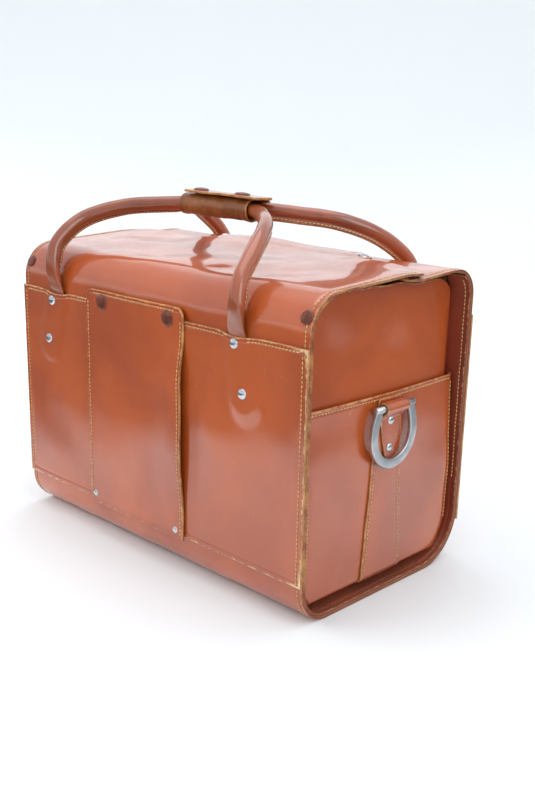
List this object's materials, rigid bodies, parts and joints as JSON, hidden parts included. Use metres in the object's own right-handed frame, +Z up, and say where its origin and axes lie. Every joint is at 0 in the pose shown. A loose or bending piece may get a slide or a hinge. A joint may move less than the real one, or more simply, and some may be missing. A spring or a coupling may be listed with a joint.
{
  "type": "doctor bag",
  "caption": "Rigid box-shaped leather doctor bag with two top flaps, rolled twin handles joined by a snap grip, moulded end pockets with D-rings and a front flap over a flat pocket.",
  "frame": {"origin": "middle of the underside, on the surface the bag stands on", "axes": "+X along the bag's length towards the right-hand end seen from the front, -Y out of the front face, +Z up"},
  "size_m": [0.421, 0.2558, 0.3517],
  "materials": {
    "leather": "polished bridle leather, russet brown, light wear at the edges",
    "leather_dark": "darker, hand-worn leather",
    "lining": "unpolished lining leather",
    "nickel": "bright nickel rivets",
    "ring_metal": "satin nickel with fine scratches",
    "stud_metal": "dull snap posts",
    "snap_brown": "dark brown enamelled snap caps, chipped",
    "rope": "twisted cord core",
    "board": "pressed base board"
  },
  "bodies": {
    "case": {"outer_wrap": "leather", "lining": "lining", "bottom_board": "board", "front_panel": "leather", "rear_panel": "leather", "end_panel_right": "leather", "end_panel_left": "leather", "end_pocket_right": "leather", "end_pocket_left": "leather", "end_pleat_right": "leather", "end_pleat_left": "leather", "ring_tab_right": "leather", "ring_tab_left": "leather", "ring_tab_rivets": "nickel", "front_handle_tabs": "leather_dark", "rear_handle_tabs": "leather_dark", "front_handle_rivets": "nickel", "rear_handle_rivets": "nickel", "corner_studs": "stud_metal", "pocket_flap_foot": "leather", "pocket_flap_studs": "stud_metal", "pocket_flap_rivets": "nickel"},
    "front_handle": {"front_handle": "leather", "front_handle_core": "rope", "grip_sleeve": "leather_dark", "grip_studs": "stud_metal"},
    "rear_handle": {"rear_handle": "leather", "rear_handle_core": "rope"},
    "grip_cover": {"grip_cover": "leather", "grip_cover_caps": "snap_brown"},
    "front_flap": {"front_flap": "leather", "front_flap_lining": "lining", "closing_tab_caps": "nickel", "front_corner_caps": "snap_brown"},
    "rear_flap": {"rear_flap": "leather", "rear_flap_lining": "lining", "closing_tab_studs": "stud_metal", "rear_corner_caps": "snap_brown"},
    "pocket_flap": {"pocket_flap": "leather", "pocket_flap_caps": "snap_brown"},
    "ring_right": {"ring_right": "ring_metal"},
    "ring_left": {"ring_left": "ring_metal"}
  },
  "joints": [
    {"name": "front_handle_swing", "type": "hinge", "parent": "case", "child": "front_handle", "pos_m": [0, -0.1193, 0.251], "axis": [1, 0, 0], "range_deg": [0, 130], "deforming": ["grip_sleeve"]},
    {"name": "rear_handle_swing", "type": "hinge", "parent": "case", "child": "rear_handle", "pos_m": [0, 0.1193, 0.251], "axis": [1, 0, 0], "range_deg": [-130, 0]},
    {"name": "front_flap_fold", "type": "hinge", "parent": "case", "child": "front_flap", "pos_m": [0, -0.118, 0.26], "axis": [1, 0, 0], "range_deg": [0, 91]},
    {"name": "rear_flap_fold", "type": "hinge", "parent": "case", "child": "rear_flap", "pos_m": [0, 0.118, 0.26], "axis": [1, 0, 0], "range_deg": [-91, 0]},
    {"name": "grip_cover_fold", "type": "hinge", "parent": "front_handle", "child": "grip_cover", "pos_m": [0, 0.006, 0.3495], "axis": [-1, 0, 0], "range_deg": [0, 150]},
    {"name": "pocket_flap_fold", "type": "hinge", "parent": "case", "child": "pocket_flap", "pos_m": [0, -0.1195, 0.052], "axis": [1, 0, 0], "range_deg": [0, 110]},
    {"name": "ring_right_swing", "type": "hinge", "parent": "case", "child": "ring_right", "pos_m": [0.2048, 0, 0.1785], "axis": [0, -1, 0], "range_deg": [0, 165]},
    {"name": "ring_left_swing", "type": "hinge", "parent": "case", "child": "ring_left", "pos_m": [-0.2048, 0, 0.1785], "axis": [0, 1, 0], "range_deg": [0, 165]}
  ],
  "couplings": [
    {"joint": "rear_handle_swing", "follows": "front_handle_swing", "ratio": -1},
    {"joint": "front_flap_fold", "follows": "front_handle_swing", "ratio": 0.7},
    {"joint": "rear_flap_fold", "follows": "front_handle_swing", "ratio": -0.7}
  ]
}
